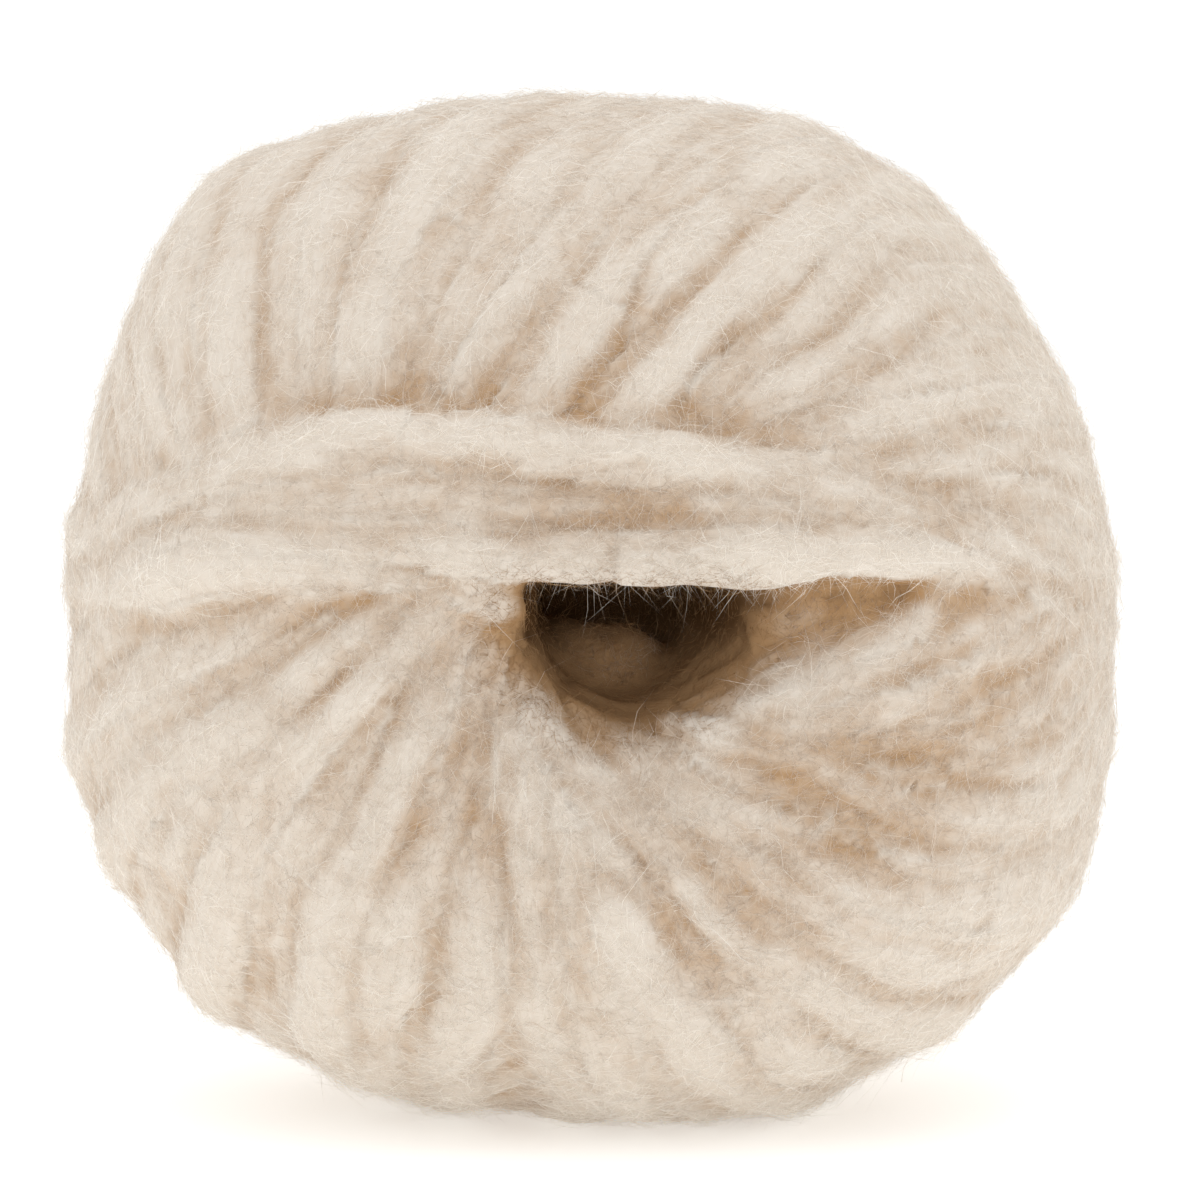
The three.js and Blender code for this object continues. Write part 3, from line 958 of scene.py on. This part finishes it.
def mixed(tree, share, first, second):
    """The socket that gives a mix of two colours, each of them a socket or a plain colour."""
    # The node's sockets share their names, so they go by their places.
    mix = add_node(tree, "ShaderNodeMix", {"data_type": "RGBA"}, {0: share})
    for key, side in ((6, first), (7, second)):
        if isinstance(side, bpy.types.NodeSocket):
            tree.links.new(side, mix.inputs[key])
        else:
            mix.inputs[key].default_value = (*side, 1)
    return mix.outputs[2]


def eased_over(tree, value, start, end):
    """The socket that eases from 0 to 1 as a value goes from a start to an end."""
    settings = {"interpolation_type": "SMOOTHSTEP", "From Min": start, "From Max": end}
    return add_node(tree, "ShaderNodeMapRange", settings, {"Value": value}).outputs["Result"]


def brushed_alpaca(colours):
    """Brushed alpaca: matt, downy and pale, with painted brown shade in creases and dark shade in the core.
    """
    material, tree, output = new_material("brushed_alpaca")
    run = add_node(tree, "ShaderNodeAttribute", {"attribute_name": "run"})
    # Fibres about 6 mm long and 0.3 mm across, along the strand.
    stretch = add_node(
        tree,
        "ShaderNodeMapping",
        {"Scale": (1 / FIBRE_LENGTH, 1 / FIBRE_WIDTH, 1 / FIBRE_WIDTH)},
        {"Vector": run.outputs["Vector"]},
    )
    fibres = add_node(
        tree,
        "ShaderNodeTexNoise",
        {"Scale": 1.0, "Detail": 3.0, "Roughness": 0.55, "Distortion": 0.3},
        {"Vector": stretch.outputs["Vector"]},
    )
    place = add_node(tree, "ShaderNodeTexCoord")
    # Tufts about 2.5 mm across.
    tufts = add_node(
        tree,
        "ShaderNodeTexNoise",
        {"Scale": 1 / RAGGED_WIDTH, "Detail": 3.0, "Roughness": 0.55},
        {"Vector": place.outputs["Object"]},
    )
    skin = mixed(tree, fibres.outputs["Fac"], colours.dark, colours.light)
    # The crest is how far the place stands out of the strands, in mm, lowered where shade is painted.
    crest = add_node(tree, "ShaderNodeAttribute", {"attribute_name": "crest"})
    ragged = add_node(
        tree,
        "ShaderNodeMath",
        {"operation": "MULTIPLY_ADD", 1: RAGGED},
        {0: tufts.outputs["Fac"], 2: crest.outputs["Fac"]},
    )
    # Painted shade: crease brown where the crest is low.
    crease_shade = eased_over(tree, ragged.outputs["Value"], *CREASE_CRESTS)
    # Painted shade: the dark core colour where the crest is lower still, down in the core.
    deep = eased_over(tree, crest.outputs["Fac"], *CORE_CRESTS)
    crease_shaded = mixed(tree, crease_shade, skin, colours.crease_shade)
    core = mixed(tree, deep, crease_shaded, colours.core)
    bump = add_node(
        tree, "ShaderNodeBump", {"Strength": 0.3, "Distance": 0.2 * MM}, {"Height": fibres.outputs["Fac"]}
    )
    shader = add_node(
        tree,
        "ShaderNodeBsdfPrincipled",
        {"Roughness": 0.95, "Specular IOR Level": 0.0},
        {"Base Color": core, "Normal": bump.outputs["Normal"]},
    )
    tree.links.new(shader.outputs["BSDF"], output.inputs["Surface"])
    return material


def loose_fibre(colours):
    """Loose alpaca fibre: fine, pale, matt and thin enough to let light through, shown as a painted glow.
    """
    material, tree, output = new_material("loose_alpaca_fibre")
    shade = add_node(tree, "ShaderNodeAttribute", {"attribute_name": "shade"})
    # Painted shade: fibres with a low shade value take the crease shade colour.
    hair = mixed(tree, shade.outputs["Fac"], colours.crease_shade, colours.tip)
    # A painted glow in place of the light through the hair, none where the hair has painted shade.
    through = mixed(tree, shade.outputs["Fac"], (0, 0, 0), colours.tip)
    shader = add_node(
        tree,
        "ShaderNodeBsdfPrincipled",
        {"Roughness": 0.9, "Specular IOR Level": 0.0, "Emission Strength": 0.12},
        {"Base Color": hair, "Emission Color": through},
    )
    tree.links.new(shader.outputs["BSDF"], output.inputs["Surface"])
    return material


def studio_floor(colours):
    """Matt white acrylic, lit from below as a light table is, so that shadows on it stay pale."""
    material, tree, output = new_material("lit_acrylic")
    shader = add_node(
        tree,
        "ShaderNodeBsdfPrincipled",
        {
            "Base Color": (*colours.floor, 1),
            "Roughness": 0.9,
            "Specular IOR Level": 0.1,
            "Emission Color": (*colours.floor, 1),
            "Emission Strength": 0.35,
        },
    )
    tree.links.new(shader.outputs["BSDF"], output.inputs["Surface"])
    return material


def new_piece(name, mesh, material):
    """Adds an object for a finished mesh, riding on the ball in place of its CAD solid."""
    piece = bpy.data.objects.new(name, mesh)
    bpy.context.scene.collection.objects.link(piece)
    mesh.materials.clear()
    mesh.materials.append(material)
    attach(piece, "root")
    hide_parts("yarn_ball")


class YARN_OT_wind_turns(bpy.types.Operator):
    """Winds the yarn over the older layers, tucks its end into the mouth and felts the strands together"""

    bl_idname = "yarn_ball.wind_turns"
    bl_label = "Wind the turns"

    def execute(self, context):
        ball = context.scene.ball_sizes
        yarn = context.scene.yarn_sizes
        skin = context.scene.skin_sizes
        rng = np.random.default_rng(SEED)
        strands = []
        for table in (UPPER_ARMS, LOWER_ARMS):
            first, last = table[0][0], table[-1][0]
            for order, degrees in enumerate(np.arange(first, last, 360 / yarn.arms)):
                *arm, share = lay_arm(ball, yarn, table, degrees, order, rng)
                strands.append(strand_lists(ball, yarn, *arm, rng, share * arm_width(ball, yarn, arm[0])))
        for rise, width, places in BELT:
            strands.append(strand_lists(ball, yarn, *lay_belt(ball, yarn, rise, places), rng, width * MM))

        for end in (lay_tucked_end(ball, yarn), lay_core_end(yarn)):
            strands.append(strand_lists(ball, yarn, *end, rng, yarn.end_width))
        lists = [(points, faces) for points, faces, _ in strands]
        lines = [line for _, _, line in strands]
        mesh = felted_skin("wound_yarn", [*lists, older_layers(skin)], lines, ball, skin)
        new_piece("wound_yarn", mesh, brushed_alpaca(context.scene.yarn_colours))
        return {"FINISHED"}


class YARN_OT_comb_nap(bpy.types.Operator):
    """Combs loose fibres out of the yarn that shows"""

    bl_idname = "yarn_ball.comb_nap"
    bl_label = "Comb the nap"

    def execute(self, context):
        nap = context.scene.nap_sizes
        material = loose_fibre(context.scene.yarn_colours)
        rng = np.random.default_rng(SEED + 1)
        skin = bpy.data.objects["wound_yarn"].data
        roots = skin_samples(skin, context.scene.ball_sizes, nap, rng, nap.combed + 3 * nap.fuzz)
        first = 0
        for name, count, make in (
            ("combed_1", nap.combed, combed_mesh),
            ("fuzz_1", nap.fuzz, fuzz_mesh),
            ("fuzz_2", nap.fuzz, fuzz_mesh),
            ("fuzz_3", nap.fuzz, fuzz_mesh),
        ):
            share = slice(first, first + count)
            first += count
            mesh = make(name, nap, rng, *(values[share] for values in roots))
            new_piece(name, mesh, material)
        return {"FINISHED"}


class YARN_OT_set_stage(bpy.types.Operator):
    """Sets the floor, the soft light and the camera"""

    bl_idname = "yarn_ball.set_stage"
    bl_label = "Set the stage"

    def execute(self, context):
        scene = context.scene
        card = bmesh.new()
        bmesh.ops.create_grid(card, x_segments=1, y_segments=1, size=FLOOR_REACH)
        mesh = bpy.data.meshes.new("studio_floor")
        card.to_mesh(mesh)
        card.free()
        mesh.materials.append(studio_floor(scene.yarn_colours))
        floor = bpy.data.objects.new("studio_floor", mesh)
        scene.collection.objects.link(floor)

        for name, place, aim, size, power in LIGHTS:
            lamp = bpy.data.lights.new(name, "AREA")
            lamp.size = size
            lamp.energy = power
            light = bpy.data.objects.new(name, lamp)
            light.location = place
            light.rotation_euler = (Vector(aim) - light.location).to_track_quat("-Z", "Y").to_euler()
            scene.collection.objects.link(light)

        scene.world = bpy.data.worlds.new("soft_white_room")
        scene.world.use_nodes = True
        room = scene.world.node_tree.nodes["Background"]
        room.inputs["Color"].default_value = (1, 1, 1, 1)
        room.inputs["Strength"].default_value = ROOM_LIGHT
        scene.view_settings.view_transform = "Standard"

        lens = bpy.data.cameras.new("photo_camera")
        lens.sensor_width = SENSOR
        lens.lens = LENS
        camera = bpy.data.objects.new("photo_camera", lens)
        rise = math.radians(CAMERA_RISE)
        aim = Vector(CAMERA_AIM)
        camera.location = aim + Vector((0, -math.cos(rise), math.sin(rise))) * CAMERA_DISTANCE
        camera.rotation_euler = (QUARTER_TURN - rise, 0, 0)
        scene.collection.objects.link(camera)
        scene.camera = camera
        return {"FINISHED"}


class YARN_PT_ball(bpy.types.Panel):
    """The yarn ball's steps and sizes, in the sidebar"""

    bl_idname = "YARN_PT_ball"
    bl_label = "Yarn ball"
    bl_space_type = "VIEW_3D"
    bl_region_type = "UI"
    bl_category = "Yarn ball"

    def draw(self, context):
        for step in STEPS:
            self.layout.operator(step.bl_idname)
        for name in GROUPS:
            group = getattr(context.scene, name)
            for key in group.bl_rna.properties.keys():
                if key not in {"rna_type", "name"}:
                    self.layout.prop(group, key)


STEPS = (YARN_OT_set_stage, YARN_OT_wind_turns, YARN_OT_comb_nap)
GROUPS = {
    "ball_sizes": BallSizes,
    "yarn_sizes": YarnSizes,
    "skin_sizes": SkinSizes,
    "nap_sizes": NapSizes,
    "yarn_colours": YarnColours,
}


def register():
    for group in (*GROUPS.values(), *STEPS, YARN_PT_ball):
        bpy.utils.register_class(group)
    for name, group in GROUPS.items():
        setattr(bpy.types.Scene, name, bpy.props.PointerProperty(type=group))


def unregister():
    for name in GROUPS:
        delattr(bpy.types.Scene, name)
    for group in (YARN_PT_ball, *reversed(STEPS), *reversed(GROUPS.values())):
        bpy.utils.unregister_class(group)


def main():
    register()
    bpy.ops.yarn_ball.set_stage()
    bpy.ops.yarn_ball.wind_turns()
    bpy.ops.yarn_ball.comb_nap()


if __name__ == "__main__":
    main()
